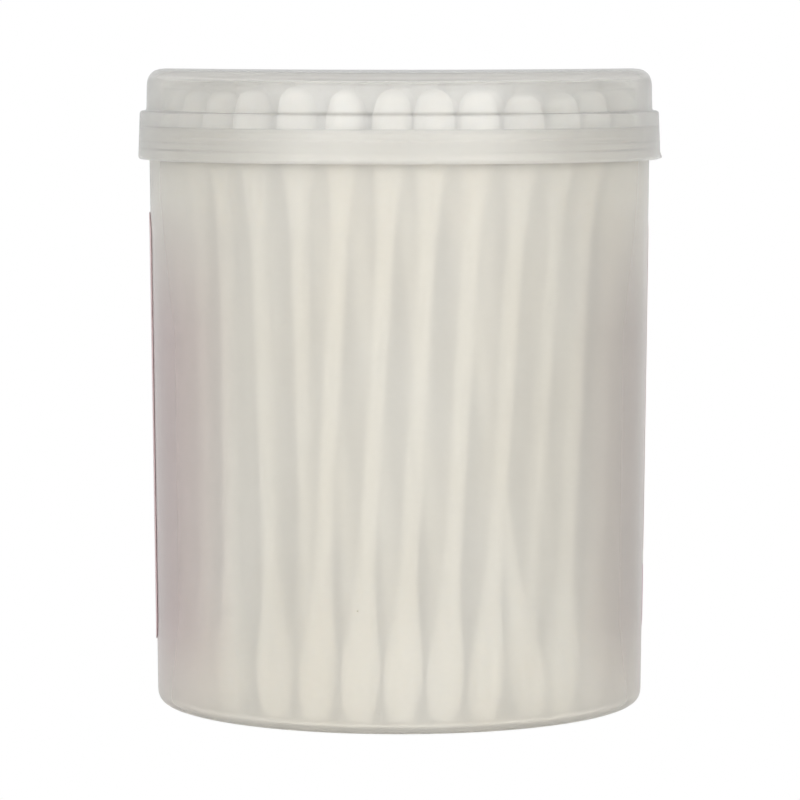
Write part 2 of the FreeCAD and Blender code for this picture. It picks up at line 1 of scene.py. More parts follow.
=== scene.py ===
# %% [markdown]
# # A tub of cotton swabs
# A round, frosted plastic tub with a press-on lid, full of cotton swabs that stand on end. The solids come
# packed from the CAD model and load as a fixed frame. This script dresses them: turned plastic that is
# smooth at any distance, wound cotton, rolled paper and a printed film label. Everything is in metres, +Z
# is up and -Y is the front.

# %% Load the frame
import math

import bmesh
import bpy
import numpy as np
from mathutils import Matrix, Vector


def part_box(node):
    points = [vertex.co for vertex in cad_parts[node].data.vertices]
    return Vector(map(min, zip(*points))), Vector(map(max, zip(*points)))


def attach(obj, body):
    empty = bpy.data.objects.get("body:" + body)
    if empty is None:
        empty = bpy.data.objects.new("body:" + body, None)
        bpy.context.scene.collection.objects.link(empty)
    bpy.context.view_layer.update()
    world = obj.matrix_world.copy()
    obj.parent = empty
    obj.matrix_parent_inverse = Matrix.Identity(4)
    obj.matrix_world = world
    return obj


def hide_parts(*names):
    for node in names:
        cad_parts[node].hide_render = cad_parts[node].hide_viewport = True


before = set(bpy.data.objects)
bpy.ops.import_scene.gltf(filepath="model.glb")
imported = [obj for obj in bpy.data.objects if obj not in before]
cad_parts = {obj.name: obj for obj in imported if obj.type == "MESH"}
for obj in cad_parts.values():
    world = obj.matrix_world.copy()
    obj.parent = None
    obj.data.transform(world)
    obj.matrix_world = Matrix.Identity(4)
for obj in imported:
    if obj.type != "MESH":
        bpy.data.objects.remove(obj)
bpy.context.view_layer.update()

MM = 0.001

# %% [markdown]
# ## Measures from the frame
# A dressed piece has to stay where its solid is. All its sizes could be typed again here, but then they
# would drift apart from the solids, so the main heights and radii are read from the solids' boxes, and only
# what a box can't tell, such as a wall's thickness, is written here as a number.

# %% Read the main sizes
def top_of(node):
    """Height of a node's highest point, in millimetres."""
    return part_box(node)[1].z / MM


tub_low, tub_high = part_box("tub")
lid_low, lid_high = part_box("lid")
RIM = top_of("tub")
LID_TOP = top_of("lid")
SKIRT_FOOT = lid_low.z / MM
SKIRT_OUT = -lid_low.y / MM
BEAD_OUT = tub_high.x / MM
DRAFT = 0.83
RIM_OUT = 30.45
FOOT_OUT = RIM_OUT - DRAFT
WALL = 0.9
FLOOR = 0.9
print(f"heights in mm: rim {RIM:.2f}, lid top {LID_TOP:.2f}, skirt foot {SKIRT_FOOT:.2f}")
print(f"radii in mm: skirt {SKIRT_OUT:.2f}, bead {BEAD_OUT:.2f}")

# %% [markdown]
# ## Turned pieces
# The tub and the lid are round mouldings. Either could be a cylinder with edges bevelled afterwards, but
# their outlines have many small steps, so each is an outline turned round the Z axis, as a potter would. An
# outline is a list of corners: radius, height and how far the corner is rounded. The rounding matters more
# than it seems to: it is where plastic catches the light.

# %% Round an outline's corners
ARC_STEPS = 6
MOST_OF_A_RUN = 0.45


def rounded_outline(corners):
    """Points of an outline with its corners, (radius, height, rounding) in millimetres, rounded."""
    points = []
    last = len(corners) - 1
    for index, (across, up, rounding) in enumerate(corners):
        here = Vector((across, up))
        if index in (0, last) or rounding == 0:
            points.append(here)
            continue
        before = Vector(corners[index - 1][:2]) - here
        after = Vector(corners[index + 1][:2]) - here
        half = before.angle(after) / 2
        room = min(before.length * MOST_OF_A_RUN, after.length * MOST_OF_A_RUN)
        reach = min(rounding / math.tan(half), room)
        start = here + before.normalized() * reach
        end = here + after.normalized() * reach
        for step in range(ARC_STEPS + 1):
            share = step / ARC_STEPS
            points.append(start.lerp(here, share).lerp(here.lerp(end, share), share))
    return points


# %% [markdown]
# Smooth shading blends the slope from one ring of points to the next, so a rounding beside a long flat run
# would smear over the whole run. A bevel or a subdivision with creases would hold it. Here two short runs
# beside each turn do, which costs the fewest faces.

# %% Hold the flat runs
HOLD = 0.15
LONGEST_RUN = 3.0


def with_holding_runs(points):
    """The same outline with short runs beside each turn and no run longer than LONGEST_RUN."""
    full = [points[0]]
    for start, end in zip(points, points[1:]):
        length = (end - start).length
        if length > 3 * HOLD:
            inner = length - 2 * HOLD
            count = max(1, math.ceil(inner / LONGEST_RUN))
            full += [start.lerp(end, (HOLD + inner * step / count) / length) for step in range(count + 1)]
        full.append(end)
    return full


# %% [markdown]
# A Screw modifier could turn the outline. Writing the points and faces out gives the same mesh without one,
# and says plainly which ring each point is in. Where the outline meets the axis, all the points of a ring
# are one.

# %% Turn an outline round the axis
AROUND = 256
ON_THE_AXIS = 1e-6


def smooth_piece(name, places, faces):
    """A smooth piece in the scene, made of points in metres and faces that join them."""
    mesh = bpy.data.meshes.new(name)
    mesh.from_pydata(places, [], faces)
    mesh.shade_smooth()
    piece = bpy.data.objects.new(name, mesh)
    bpy.context.scene.collection.objects.link(piece)
    return piece


def turned(name, corners):
    """A smooth piece turned round the Z axis from an outline that starts and ends on the axis."""
    outline = with_holding_runs(rounded_outline(corners))
    places, faces, rows = [], [], []
    for across, up in outline:
        if across < ON_THE_AXIS:
            rows.append([len(places)] * AROUND)
            places.append((0.0, 0.0, up * MM))
            continue
        rows.append(list(range(len(places), len(places) + AROUND)))
        for step in range(AROUND):
            turn = 2 * math.pi * step / AROUND
            places.append((across * MM * math.cos(turn), across * MM * math.sin(turn), up * MM))
    for row, above in zip(rows, rows[1:]):
        for step in range(AROUND):
            following = (step + 1) % AROUND
            face = [row[step], row[following], above[following], above[step]]
            faces.append(list(dict.fromkeys(face)))
    piece = smooth_piece(name, places, faces)
    print(f"{name}: {len(outline)} points turned in {AROUND} steps, {len(piece.data.polygons)} faces")
    return piece


# %% [markdown]
# ## The tub
# One moulding of polypropylene: a cup that is slightly wider at its rim, so that it slides off the mould,
# with a raised panel in the base and a thin bead under the rim that the lid snaps over. It is translucent,
# so a single skin would look empty: light bends at the outside and at the inside of the wall, and the
# outline goes round both.

# %% Tub
BEAD_DROP = 0.1
BEAD_LEAD = 0.4
BEAD_CREST = 0.6
BEAD_BACK = 0.25
BEAD_TOP = RIM - BEAD_DROP
BEAD_HIGH = BEAD_TOP - BEAD_LEAD
BEAD_LOW = BEAD_HIGH - BEAD_CREST
BEAD_FOOT = BEAD_LOW - BEAD_BACK
FOOT_RING = 6.02
PANEL = FOOT_OUT - FOOT_RING
PANEL_RISE = 0.4
GATE_RADIUS = 1.4
GATE_PROUD = 0.15
GATE_SLOPE = 0.15


def wall_out(up):
    """Outside radius of the drafted wall at a height, in millimetres."""
    return FOOT_OUT + DRAFT * up / RIM


tub = turned("tub_shell", [
    (0, PANEL_RISE - GATE_PROUD, 0),
    (GATE_RADIUS, PANEL_RISE - GATE_PROUD, 0.08),
    (GATE_RADIUS + GATE_SLOPE, PANEL_RISE, 0.08),
    (PANEL, PANEL_RISE, 0.5),
    (PANEL + PANEL_RISE, 0, 0.3),
    (FOOT_OUT, 0, 1.6),
    (wall_out(BEAD_FOOT), BEAD_FOOT, 0.1),
    (BEAD_OUT, BEAD_LOW, 0.12),
    (BEAD_OUT, BEAD_HIGH, 0.2),
    (wall_out(BEAD_TOP), BEAD_TOP, 0.1),
    (RIM_OUT, RIM, 0.1),
    (RIM_OUT - WALL, RIM, 0.25),
    (wall_out(FLOOR) - WALL, FLOOR, 0.8),
    (PANEL + PANEL_RISE, FLOOR, 0.3),
    (PANEL, FLOOR + PANEL_RISE, 0.5),
    (0, FLOOR + PANEL_RISE, 0),
])

# %% [markdown]
# ## The lid
# Also one moulding. Its crown stands over the swabs' heads, its shoulder sits on the tub's rim, and its
# skirt hangs round the outside with a small lip that snaps under the bead. It is the piece that the light
# plays on most, so it gets every step of the real section: the lip, the flare of the skirt and the dished
# mark where the plastic came in.

# %% Lid
SHOULDER_RISE = 1.85
LID_PANEL = 1.1
CROWN_STEP = 0.3
CROWN_WALL = 0.9
CROWN_TAPER = 0.1
SKIRT_ROOM = 0.25
SKIRT_WALL = 0.85
LIP_GAP = 0.3
LIP_SLOPE = 0.25
LIP_CREST = 0.6
LIP_CLEARANCE = 0.1
NIB_TALL = 0.9
GATE_DISH = 0.2
SHOULDER = RIM + SHOULDER_RISE
PANEL_UNDER = LID_TOP - LID_PANEL
CROWN_OUT = RIM_OUT + CROWN_STEP
SKIRT_TOP = RIM_OUT + SKIRT_ROOM + SKIRT_WALL
LIP_TOP = BEAD_FOOT - LIP_GAP
LIP_HIGH = LIP_TOP - LIP_SLOPE
LIP_LOW = LIP_HIGH - LIP_CREST
LIP_FOOT = LIP_LOW - LIP_SLOPE
LIP_IN = BEAD_OUT + LIP_CLEARANCE


def skirt_out(up):
    """Outside radius of the flared skirt at a height, in millimetres."""
    return SKIRT_TOP + (SKIRT_OUT - SKIRT_TOP) * (SHOULDER - up) / (SHOULDER - SKIRT_FOOT)


lid = turned("lid_shell", [
    (0, PANEL_UNDER, 0),
    (CROWN_OUT - CROWN_TAPER - CROWN_WALL, PANEL_UNDER, 0.35),
    (CROWN_OUT - CROWN_WALL, RIM, 0.1),
    (skirt_out(RIM) - SKIRT_WALL, RIM, 0.1),
    (skirt_out(LIP_TOP) - SKIRT_WALL, LIP_TOP, 0.1),
    (LIP_IN, LIP_HIGH, 0.1),
    (LIP_IN, LIP_LOW, 0.1),
    (skirt_out(LIP_FOOT) - SKIRT_WALL, LIP_FOOT, 0.1),
    (skirt_out(SKIRT_FOOT) - SKIRT_WALL, SKIRT_FOOT, 0.15),
    (skirt_out(SKIRT_FOOT), SKIRT_FOOT, 0.4),
    (skirt_out(SKIRT_FOOT + NIB_TALL), SKIRT_FOOT + NIB_TALL, 0),
    (SKIRT_TOP, SHOULDER, 0.6),
    (CROWN_OUT, SHOULDER, 0.8),
    (CROWN_OUT - CROWN_TAPER, LID_TOP, 2.2),
    (GATE_RADIUS + 0.5, LID_TOP, GATE_DISH),
    (GATE_RADIUS + 0.1, LID_TOP - GATE_DISH, GATE_DISH),
    (0, LID_TOP - GATE_DISH, 0),
])

# %% [markdown]
# Thin lids cool unevenly and come out a little warped, like a saddle: the sides stand a hair higher than
# the front and the back. A lattice could bend the lid. Moving its points by one short formula does the
# same, and leaves the skirt, which the tub holds round, as it was.

# %% Warp the lid
WARP = 0.2
WARP_STARTS = 1.5
WARP_GROWS_OVER = 3.0
for spot in lid.data.vertices:
    turn = math.atan2(spot.co.y, spot.co.x)
    out = math.hypot(spot.co.x, spot.co.y) / (CROWN_OUT * MM)
    lift = max(0.0, min(1.0, (spot.co.z / MM - RIM - WARP_STARTS) / WARP_GROWS_OVER))
    spot.co.z += WARP * MM * math.cos(2 * turn) * min(out, 1.0) ** 2 * lift
print(f"lid warped by {WARP} mm")

# %% [markdown]
# On the right side of the skirt's lower edge a small sharp nib is left, where the mould was touched up or a
# nail is meant to catch. It could be a wedge set against the skirt, but clear plastic would show the joint.
# A few of the lid's own points are drawn outwards instead, so that it is one skin with the lid.

# %% Draw the nib out
NIB_WIDE = 1.6
NIB_PROUD = 0.35
NIB_SKIN = 0.35
drawn = 0
for spot in lid.data.vertices:
    aside = abs(spot.co.y) / MM / NIB_WIDE
    height = (spot.co.z / MM - SKIRT_FOOT) / NIB_TALL
    outside = spot.co.x / MM > skirt_out(SKIRT_FOOT + NIB_TALL) - NIB_SKIN
    if outside and aside < 1 and height < 1:
        spot.co.x += NIB_PROUD * MM * (1 - height) * (1 - aside)
        drawn += 1
print(drawn, "points drawn out for the nib")

# %% [markdown]
# ## Where the swabs stand
# A hundred swabs lean against each other, and the solids say where each one is. Many of them share a node,
# so a node's box is no help. Their meshes come in loose shells: points that no edge joins to the rest. Here
# every point takes the lowest number among its neighbours, again and again, until each shell has one number
# of its own.

# %% Split a mesh into loose shells
def shells_of(node):
    """The loose shells of a node's mesh, as arrays of places."""
    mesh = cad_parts[node].data
    places = np.empty(len(mesh.vertices) * 3)
    mesh.vertices.foreach_get("co", places)
    places = places.reshape(-1, 3)
    edges = np.empty(len(mesh.edges) * 2, dtype=np.int64)
    mesh.edges.foreach_get("vertices", edges)
    one, other = edges.reshape(-1, 2).T
    shell = np.arange(len(places))
    while True:
        lowest = shell.copy()
        np.minimum.at(lowest, one, shell[other])
        np.minimum.at(lowest, other, shell[one])
        lowest = lowest[lowest]
        if np.array_equal(lowest, shell):
            break
        shell = lowest
    return [places[shell == name] for name in np.unique(shell)]


# %% [markdown]
# A stick's wall is the shell that is as long as a stick. It has points only at its two ends, so the middle
# of the lower ones and the middle of the upper ones give the stick's axis.

# %% Find the sticks
SHORTEST_STICK = 60


def axes_of(node):
    """The lower and upper end of each stick of a node, in metres."""
    axes = []
    for places in shells_of(node):
        if np.ptp(places[:, 2]) > SHORTEST_STICK * MM:
            middle = places[:, 2].mean()
            low = places[places[:, 2] < middle].mean(axis=0)
            high = places[places[:, 2] > middle].mean(axis=0)
            axes.append((Vector(low), Vector(high)))
    return axes


sticks = {name: axes_of(name) for name in sorted(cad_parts) if "stick" in name}
print(sum(len(axes) for axes in sticks.values()), "sticks in", len(sticks), "nodes")

# %% [markdown]
# A cotton head belongs to the stick whose end is nearest. Seen along that stick, its lowest point is its
# tip, and its widest point says how full it is. The narrow shells inside a head, where the stick goes in,
# are passed over.

# %% Measure the cotton heads
SHORTEST_HEAD = 14
NARROWEST_HEAD = 1.6


def heads_of(node):
    """For each head of a node: its tip, the direction from there along the stick, its widest radius."""
    name, at_top = node.rsplit("_", 2)[0], "_top_" in node
    axes = sticks.get(f"{name}_stick") or sticks[f"{name}_sticks"]
    found = []
    for places in shells_of(node):
        if np.ptp(places[:, 2]) < SHORTEST_HEAD * MM:
            continue
        middle = Vector(places.mean(axis=0))
        low, high = min(axes, key=lambda axis: (axis[1 if at_top else 0] - middle).length)
        end, along = (high, (low - high).normalized()) if at_top else (low, (high - low).normalized())
        away = places - np.array(end)
        reach = away @ np.array(along)
        across = np.linalg.norm(away - np.outer(reach, np.array(along)), axis=1)
        if across.max() > NARROWEST_HEAD * MM:
            found.append((end + along * reach.min(), along, across.max()))
    return found


heads = {name: heads_of(name) for name in sorted(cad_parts) if "head" in name}
fullest = max(full for found in heads.values() for tip, along, full in found)
print(sum(len(found) for found in heads.values()), f"heads, the fullest {fullest / MM:.2f} mm in radius")

# %% [markdown]
# ## Wound cotton
# A swab's head is cotton fibre wound round the end of the stick: a soft bulb with a blunt tip that thins to
# nothing on the paper. A squashed sphere has the wrong tip and no neck, so the outline is a smooth curve
# through the air between a few poles, which pull it as a magnet would. The upper heads have blunter tips
# than the lower ones.

# %% Outline of a cotton head
HEAD_LENGTH = 16.5
TOP_POLES = [(0.0, 0.0), (0.72, 0.0), (1.0, 0.11), (1.05, 0.37), (0.80, 0.62)]
LOW_POLES = [(0.0, 0.0), (0.50, 0.0), (0.90, 0.12), (1.06, 0.38), (0.80, 0.62)]
NECK = 1.26
NECK_AT = 0.82
KNOTS = [0, 0, 0, 0, 1, 2, 3, 4, 4, 4, 4]
DEGREE = 3
LAST_KNOT = 4
CROWDED_TO_TIP = 1.35


def pull(index, degree, where):
    """How strongly a pole pulls at a place on the curve: the usual rule for a spline."""
    if degree == 0:
        return 1.0 if KNOTS[index] <= where < KNOTS[index + 1] else 0.0
    total = 0.0
    if KNOTS[index + degree] > KNOTS[index]:
        ahead = (where - KNOTS[index]) / (KNOTS[index + degree] - KNOTS[index])
        total += ahead * pull(index, degree - 1, where)
    if KNOTS[index + degree + 1] > KNOTS[index + 1]:
        behind = (KNOTS[index + degree + 1] - where) / (KNOTS[index + degree + 1] - KNOTS[index + 1])
        total += behind * pull(index + 1, degree - 1, where)
    return total


def head_outline(shape, widest, count):
    """Radii and distances from the tip, in millimetres, along a head's outline."""
    poles = [(share * widest, up * HEAD_LENGTH) for share, up in shape]
    poles += [(NECK, NECK_AT * HEAD_LENGTH), (NECK, HEAD_LENGTH)]
    outline = []
    for step in range(count):
        where = min(LAST_KNOT * (step / (count - 1)) ** CROWDED_TO_TIP, LAST_KNOT - 1e-9)
        weights = [pull(index, DEGREE, where) for index in range(len(poles))]
        across = sum(weight * pole[0] for weight, pole in zip(weights, poles))
        up = sum(weight * pole[1] for weight, pole in zip(weights, poles))
        outline.append((across, up))
    return np.array(outline)


# %% [markdown]
# Each head is a little different. A texture could only shade that, and the outline against the light would
# stay perfect, so the unevenness is in the shape: soft lumps, as a few waves that run round and along, and
# a faint winding that climbs on a slant as the fibre does.

# %% Lumps and winding
LUMP_WAVES = 9
STEEPEST_WAVE = 9
WINDING = 0.22
WINDING_CLIMB = 70


def lumps(along, turn, chance, strength):
    """Smooth unevenness over a head: soft lumps and a slanting winding, in shares of the radius."""
    total = np.zeros_like(turn)
    for number in range(LUMP_WAVES):
        waves = chance.integers(1, 6)
        rise = chance.uniform(-STEEPEST_WAVE, STEEPEST_WAVE)
        total += np.sin(waves * turn + rise * along * 2 + chance.uniform(0, 2 * math.pi)) / (waves + 1)
    winding = np.sin(2 * turn + along * WINDING_CLIMB + chance.uniform(0, 6)) * WINDING
    return strength * (total * 0.5 + winding)


# %% [markdown]
# One head is rings of points round its stick's axis, from the tip to where the cotton ends. It stays a hair
# inside its solid, so that two heads that lean together don't cut into each other. The lumps fade out at
# the tip and at the neck, where the fibre is drawn tight.

# %% One cotton head
KEPT_INSIDE = 0.02
UNEVENNESS = 0.035
LUMP_STRENGTH = 0.8
TIP_RADIUS = 1.5
NECK_FADE = 4


def sides_of(along):
    """Two directions square to an axis and to each other."""
    side = along.orthogonal().normalized()
    return side, along.cross(side)


def cotton_head(tip, along, full, shape, chance, rings, around):
    """Places, faces and shares of one cotton head, in metres."""
    outline = head_outline(shape, full / MM - KEPT_INSIDE, rings)
    side, other = sides_of(along)
    turn, row = np.meshgrid(np.arange(around) * 2 * math.pi / around, np.arange(1, rings), indexing="xy")
    across, up = outline[row, 0], outline[row, 1]
    share = up / HEAD_LENGTH
    fade = np.clip((1.0 - share) * NECK_FADE, 0, 1) * np.clip(across / TIP_RADIUS, 0, 1)
    across = across * (1 - UNEVENNESS * fade * (1 + lumps(share, turn, chance, LUMP_STRENGTH)))
    places = (np.array(tip)[None, None, :]
              + (across * np.cos(turn))[..., None] * np.array(side) * MM
              + (across * np.sin(turn))[..., None] * np.array(other) * MM
              + up[..., None] * np.array(along) * MM)
    places = np.vstack([np.array(tip)[None, :], places.reshape(-1, 3)])
    first = np.arange(around)
    following = (first + 1) % around
    caps = [(0, 1 + b, 1 + a) for a, b in zip(first, following)]
    quads = []
    for ring in range(rings - 2):
        low, high = 1 + ring * around, 1 + (ring + 1) * around
        quads += [(low + a, low + b, high + b, high + a) for a, b in zip(first, following)]
    charts = [(0.5, 0.0)] + list(zip((turn / (2 * math.pi)).ravel(), share.ravel()))
    return places, caps + quads, charts


# %% [markdown]
# Fibres and seams have to follow the piece, not the room, so each piece gets a chart, which is Blender's UV
# map: how far round and how far along each point is. Unwrapping by Blender's own tool would cut a head
# anywhere. Here the shares are known from building it, and a face that crosses the start of the turn counts
# on past one.

# %% Charts, and many pieces in one
def unrolled(mesh, charts):
    """Give a mesh a flat map: charts has, for each of its points, the share round and the share along."""
    chart = mesh.uv_layers.new(name="unrolled")
    for face in mesh.polygons:
        rounds = [charts[mesh.loops[loop].vertex_index][0] for loop in face.loop_indices]
        for loop, share in zip(face.loop_indices, rounds):
            across_seam = max(rounds) - share > 0.5
            chart.data[loop].uv = (share + across_seam, charts[mesh.loops[loop].vertex_index][1])


def joined(name, parts):
    """One smooth piece from several lists of places, faces and shares round and along."""
    places, faces, charts = [], [], []
    count = 0
    for part_places, part_faces, part_charts in parts:
        places.append(part_places)
        faces += [[count + corner for corner in face] for face in part_faces]
        charts += part_charts
        count += len(part_places)
    piece = smooth_piece(name, np.vstack(places), faces)
    unrolled(piece.data, charts)
    return piece


# %% [markdown]
# Every head and stick draws on one seeded source of chance, so the tub comes out the same each time. The
# heads that show clearly, all the upper ones and the front swabs' lower ones, get more points than those
# lost in the frosted plastic.

# %% Build the heads
SEED = 7
CLOSE_UP = (34, 40)
FAR_OFF = (22, 24)
chance = np.random.default_rng(SEED)
cotton_pieces = {}
for node, found in heads.items():
    at_top = "_top_" in node
    fine = CLOSE_UP if at_top or node.startswith("front") else FAR_OFF
    shape = TOP_POLES if at_top else LOW_POLES
    parts = [cotton_head(tip, along, full, shape, chance, *fine) for tip, along, full in found]
    cotton_pieces[node] = joined(f"cotton_{node}", parts)
print("cotton:", sum(len(piece.data.polygons) for piece in cotton_pieces.values()), "faces")

# %% [markdown]
# ## Rolled paper sticks
# Each stick is paper rolled tight. A cylinder would do from afar, but the paper's edge ends somewhere, in a
# faint spiral. So the stick is built as rings along the axis whose radius steps very slightly once a turn.

# %% Build the sticks
STICK_RADIUS = 1.1
PAPER_STEP = 0.015
SPIRAL_TURNS = 6


def paper_stick(low, high, chance, rings=14, around=24):
    """Places, faces and shares of one stick from its lower to its upper end, in metres."""
    along = (high - low).normalized()
    side, other = sides_of(along)
    length = (high - low).length
    turn, row = np.meshgrid(np.arange(around) * 2 * math.pi / around, np.linspace(0, 1, rings), indexing="xy")
    spiral = (turn / (2 * math.pi) + row * SPIRAL_TURNS + chance.random()) % 1.0
    across = STICK_RADIUS * MM * (1 - PAPER_STEP + PAPER_STEP * spiral)
    places = (np.array(low)[None, None, :]
              + (across * np.cos(turn))[..., None] * np.array(side)
              + (across * np.sin(turn))[..., None] * np.array(other)
              + (row * length)[..., None] * np.array(along))
    first = np.arange(around)
    following = (first + 1) % around
    faces = [tuple(first[::-1]), tuple((rings - 1) * around + first)]
    for ring in range(rings - 1):
        below, above = ring * around, (ring + 1) * around
        faces += [(below + a, below + b, above + b, above + a) for a, b in zip(first, following)]
    charts = list(zip((turn / (2 * math.pi)).ravel(), row.ravel()))
    return places.reshape(-1, 3), faces, charts


stick_pieces = {}
for node, axes in sticks.items():
    stick_pieces[node] = joined(f"paper_{node}", [paper_stick(low, high, chance) for low, high in axes])
print("paper:", sum(len(piece.data.polygons) for piece in stick_pieces.values()), "faces")

# %% [markdown]
# ## The label
# A printed film wraps the back half of the wall, a tenth of a millimetre thick, with rounded corners. A
# flat sheet bent by a modifier would leave the wall, because the wall is a cone. So the film is a grid laid
# straight on that cone, squeezed in at the corners, once for each of its faces.

# %% Lay the label on the wall
LABEL_LOW, LABEL_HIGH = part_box("label")[0].z / MM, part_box("label")[1].z / MM
LABEL_FROM, LABEL_SWEEP = 1.0, 187.0
LABEL_GLUE, LABEL_FILM, LABEL_CORNER = 0.03, 0.12, 3.0
LABEL_ACROSS, LABEL_UP = 180, 48


def height_share(up_step):
    """How far up the label a row of its grid is: rows crowd towards the edges, where the corners turn."""
    return 0.5 - 0.5 * math.cos(math.pi * up_step / LABEL_UP)


def label_skin(gap):
    """Places of one face of the label, a grid that is squeezed in at the rounded corners."""
    places = []
    for up_step in range(LABEL_UP + 1):
        up = LABEL_LOW + (LABEL_HIGH - LABEL_LOW) * height_share(up_step)
        near = min(up - LABEL_LOW, LABEL_HIGH - up)
        inset = 0.0
        if near < LABEL_CORNER:
            inset = LABEL_CORNER - math.sqrt(max(0.0, LABEL_CORNER ** 2 - (LABEL_CORNER - near) ** 2))
        radius = wall_out(up) + gap
        trim = math.degrees(inset / radius)
        for step in range(LABEL_ACROSS + 1):
            turn = math.radians(LABEL_FROM + trim + (LABEL_SWEEP - 2 * trim) * step / LABEL_ACROSS)
            places.append((radius * math.cos(turn) * MM, radius * math.sin(turn) * MM, up * MM))
    return places


inner, outer = label_skin(LABEL_GLUE), label_skin(LABEL_GLUE + LABEL_FILM)
print("label:", len(inner), "points a face, from", round(LABEL_LOW, 2), "to", round(LABEL_HIGH, 2), "mm up")

# %% [markdown]
# The two faces are closed with a thin rim: a walk round the grid's edge, along the bottom, up the far end,
# back along the top and down the near end.

# %% Close the label
row = LABEL_ACROSS + 1
faces = []
for up_step in range(LABEL_UP):
    for step in range(LABEL_ACROSS):
        a = up_step * row + step
        face = (a, a + 1, a + row + 1, a + row)
        faces.append(tuple(corner + len(inner) for corner in face))
        faces.append(face[::-1])
rim = list(range(row))
rim += [up_step * row + LABEL_ACROSS for up_step in range(1, LABEL_UP + 1)]
rim += [LABEL_UP * row + step for step in range(LABEL_ACROSS - 1, -1, -1)]
rim += [up_step * row for up_step in range(LABEL_UP - 1, 0, -1)]
for a, b in zip(rim, rim[1:] + rim[:1]):
    faces.append((a, b, b + len(inner), a + len(inner)))
label = smooth_piece("label_film", inner + outer, faces)
grid = [(step, up_step) for up_step in range(LABEL_UP + 1) for step in range(row)]
shares = [(step / LABEL_ACROSS, height_share(up_step)) for step, up_step in grid]
unrolled(label.data, shares + shares)
print("label:", len(label.data.polygons), "faces")

# %% [markdown]
# ## Finishes
# A finish could be put together by hand in the node editor. Written out, it can be read and repeated. Every
# finish starts as one Principled shader whose plain numbers are set on its own sockets.

# %% Start a finish, and finish it
def finish(name, **numbers):
    """A new material and its Principled shader, with the shader's sockets set by name."""
    material = bpy.data.materials.new(name)
    material.use_nodes = True
    shader = material.node_tree.nodes["Principled BSDF"]
    for socket, value in numbers.items():
        shader.inputs[socket.replace("_", " ")].default_value = value
    return material, shader


def joined_to(material, shader, **sockets):
    """Join results to the shader's sockets by name, which completes a finish."""
    for socket, value in sockets.items():
        material.node_tree.links.new(value, shader.inputs[socket.replace("_", " ")])
    print(f"{material.name}: {len(material.node_tree.nodes)} nodes, which vary", ", ".join(sockets))


# %% [markdown]
# Whatever varies over a piece is worked out by small nodes from where a point is. These helpers name the
# few that every finish needs: a sum, smooth noise, a number brought to another range, a colour between two,
# and a bump.

# %% Node helpers
def wired(material, kind, inputs=None, **settings):
    """A new shader node of a material: its settings by name, its sockets set or joined by name or number."""
    node = material.node_tree.nodes.new("ShaderNode" + kind)
    for setting, value in settings.items():
        setattr(node, setting, value)
    for socket, value in (inputs or {}).items():
        if isinstance(value, bpy.types.NodeSocket):
            material.node_tree.links.new(value, node.inputs[socket])
        else:
            node.inputs[socket].default_value = value
    return node


def sum_of(material, kind, *values):
    """The result of one sum, such as ADD or LESS_THAN, on numbers or sockets."""
    return wired(material, "Math", dict(enumerate(values)), operation=kind).outputs[0]


def grain(material, place, scale, stretch=(1, 1, 1), detail=2.0, rough=0.5):
    """Smooth noise over a place, stretched along its axes, as a number around one half."""
    spread = wired(material, "Mapping", {"Vector": place, "Scale": stretch}).outputs[0]
    inputs = {"Vector": spread, "Scale": scale, "Detail": detail, "Roughness": rough}
    return wired(material, "TexNoise", inputs).outputs[0]


def spread_over(material, value, low, high, to_low=0, to_high=1):
    """A number brought from one range to another, and kept inside it."""
    return wired(material, "MapRange", {0: value, 1: low, 2: high, 3: to_low, 4: to_high}).outputs[0]


def from_grain(material, noise, to_low=0, to_high=1):
    """Smooth noise, which hardly leaves 0.3 to 0.7, brought to another range."""
    return spread_over(material, noise, 0.3, 0.7, to_low, to_high)


def between(material, share, one, other):
    """A colour between two others; each is a socket or a plain colour."""
    mix = wired(material, "Mix", {0: share}, data_type="RGBA")
    for number, colour in ((6, one), (7, other)):
        if isinstance(colour, bpy.types.NodeSocket):
            material.node_tree.links.new(colour, mix.inputs[number])
        else:
            mix.inputs[number].default_value = (*colour, 1)
    return mix.outputs[2]


def bumped(material, height, strength, depth, before=None):
    """A bump from a height, on top of another bump if there is one."""
    inputs = {"Height": height, "Strength": strength, "Distance": depth}
    if before is not None:
        inputs["Normal"] = before
    return wired(material, "Bump", inputs).outputs[0]


# %% [markdown]
# The tub's polypropylene is milky all through and its mould was left matt, so light blurs as it passes.
# Real milkiness is a volume that scatters light, which is slow to render and grainy. A rough glass that
# passes two thirds of the light, with the rest as a white ground, looks the same on a thin wall. It is
# cloudier in some places than in others, and a few specks of dust and burnt plastic get in. Near both
# sides, at the label's height, the milk is painted plum on the left and brown on the right: painted light,
# standing in for the label's coloured light that runs along inside the wall.

# %% Frosted plastic
MILK, CLOUDED_MILK = (0.93, 0.895, 0.815), (0.95, 0.925, 0.86)
# painted light: the colours of the label's light, painted into the milk near the sides
PLUM_PAINTED_LIGHT, BROWN_PAINTED_LIGHT = (0.69, 0.57, 0.57), (0.64, 0.57, 0.53)
DUST = (0.45, 0.40, 0.33)
tub_plastic, tub_shader = finish("frosted_tub", Roughness=0.21, IOR=1.49, Transmission_Weight=0.67)
place = wired(tub_plastic, "TexCoord").outputs["Object"]
frost = grain(tub_plastic, place, 4200, detail=3)
clouds = grain(tub_plastic, place, 70, (1, 1, 0.6), detail=3)
milk = between(tub_plastic, from_grain(tub_plastic, clouds), MILK, CLOUDED_MILK)

